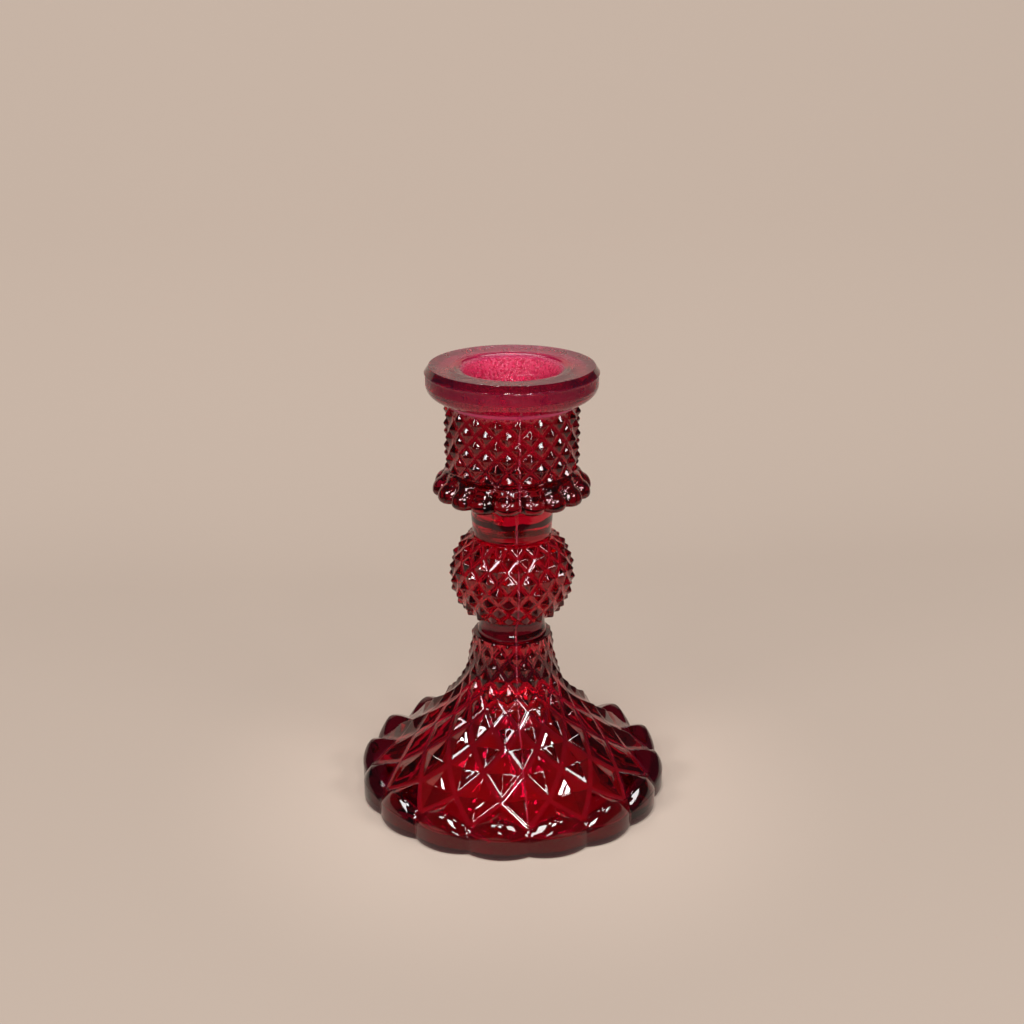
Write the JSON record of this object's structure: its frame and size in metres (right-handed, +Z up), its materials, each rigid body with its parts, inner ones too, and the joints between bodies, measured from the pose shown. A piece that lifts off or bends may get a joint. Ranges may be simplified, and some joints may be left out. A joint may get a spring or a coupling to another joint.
{
  "type": "taper candle holder",
  "caption": "Short pressed-glass candlestick with a diamond-point foot, ball knop, beaded drip collar and flared lip for one taper candle.",
  "frame": {"origin": "centre of the foot, on the surface the holder stands on", "axes": "+Z up along the holder's axis; the mould seam faces -Y"},
  "size_m": [0.0868, 0.0868, 0.1259],
  "materials": {
    "edge_glass": "fire-polished transparent ruby, dark where it is thick",
    "net_glass": "fire-polished transparent ruby, pressed diamond points",
    "neck_glass": "smooth transparent ruby, dark where it is thick",
    "rim_glass": "transparent ruby with a fine orange-peel surface on the lip"
  },
  "bodies": {
    "root": {"scalloped_base_rim": "edge_glass", "foot_skirt": "net_glass", "foot_stem": "net_glass", "lower_neck": "neck_glass", "knop": "net_glass", "upper_neck": "neck_glass", "drip_collar": "edge_glass", "candle_socket": "net_glass", "flared_rim": "rim_glass"}
  },
  "joints": []
}
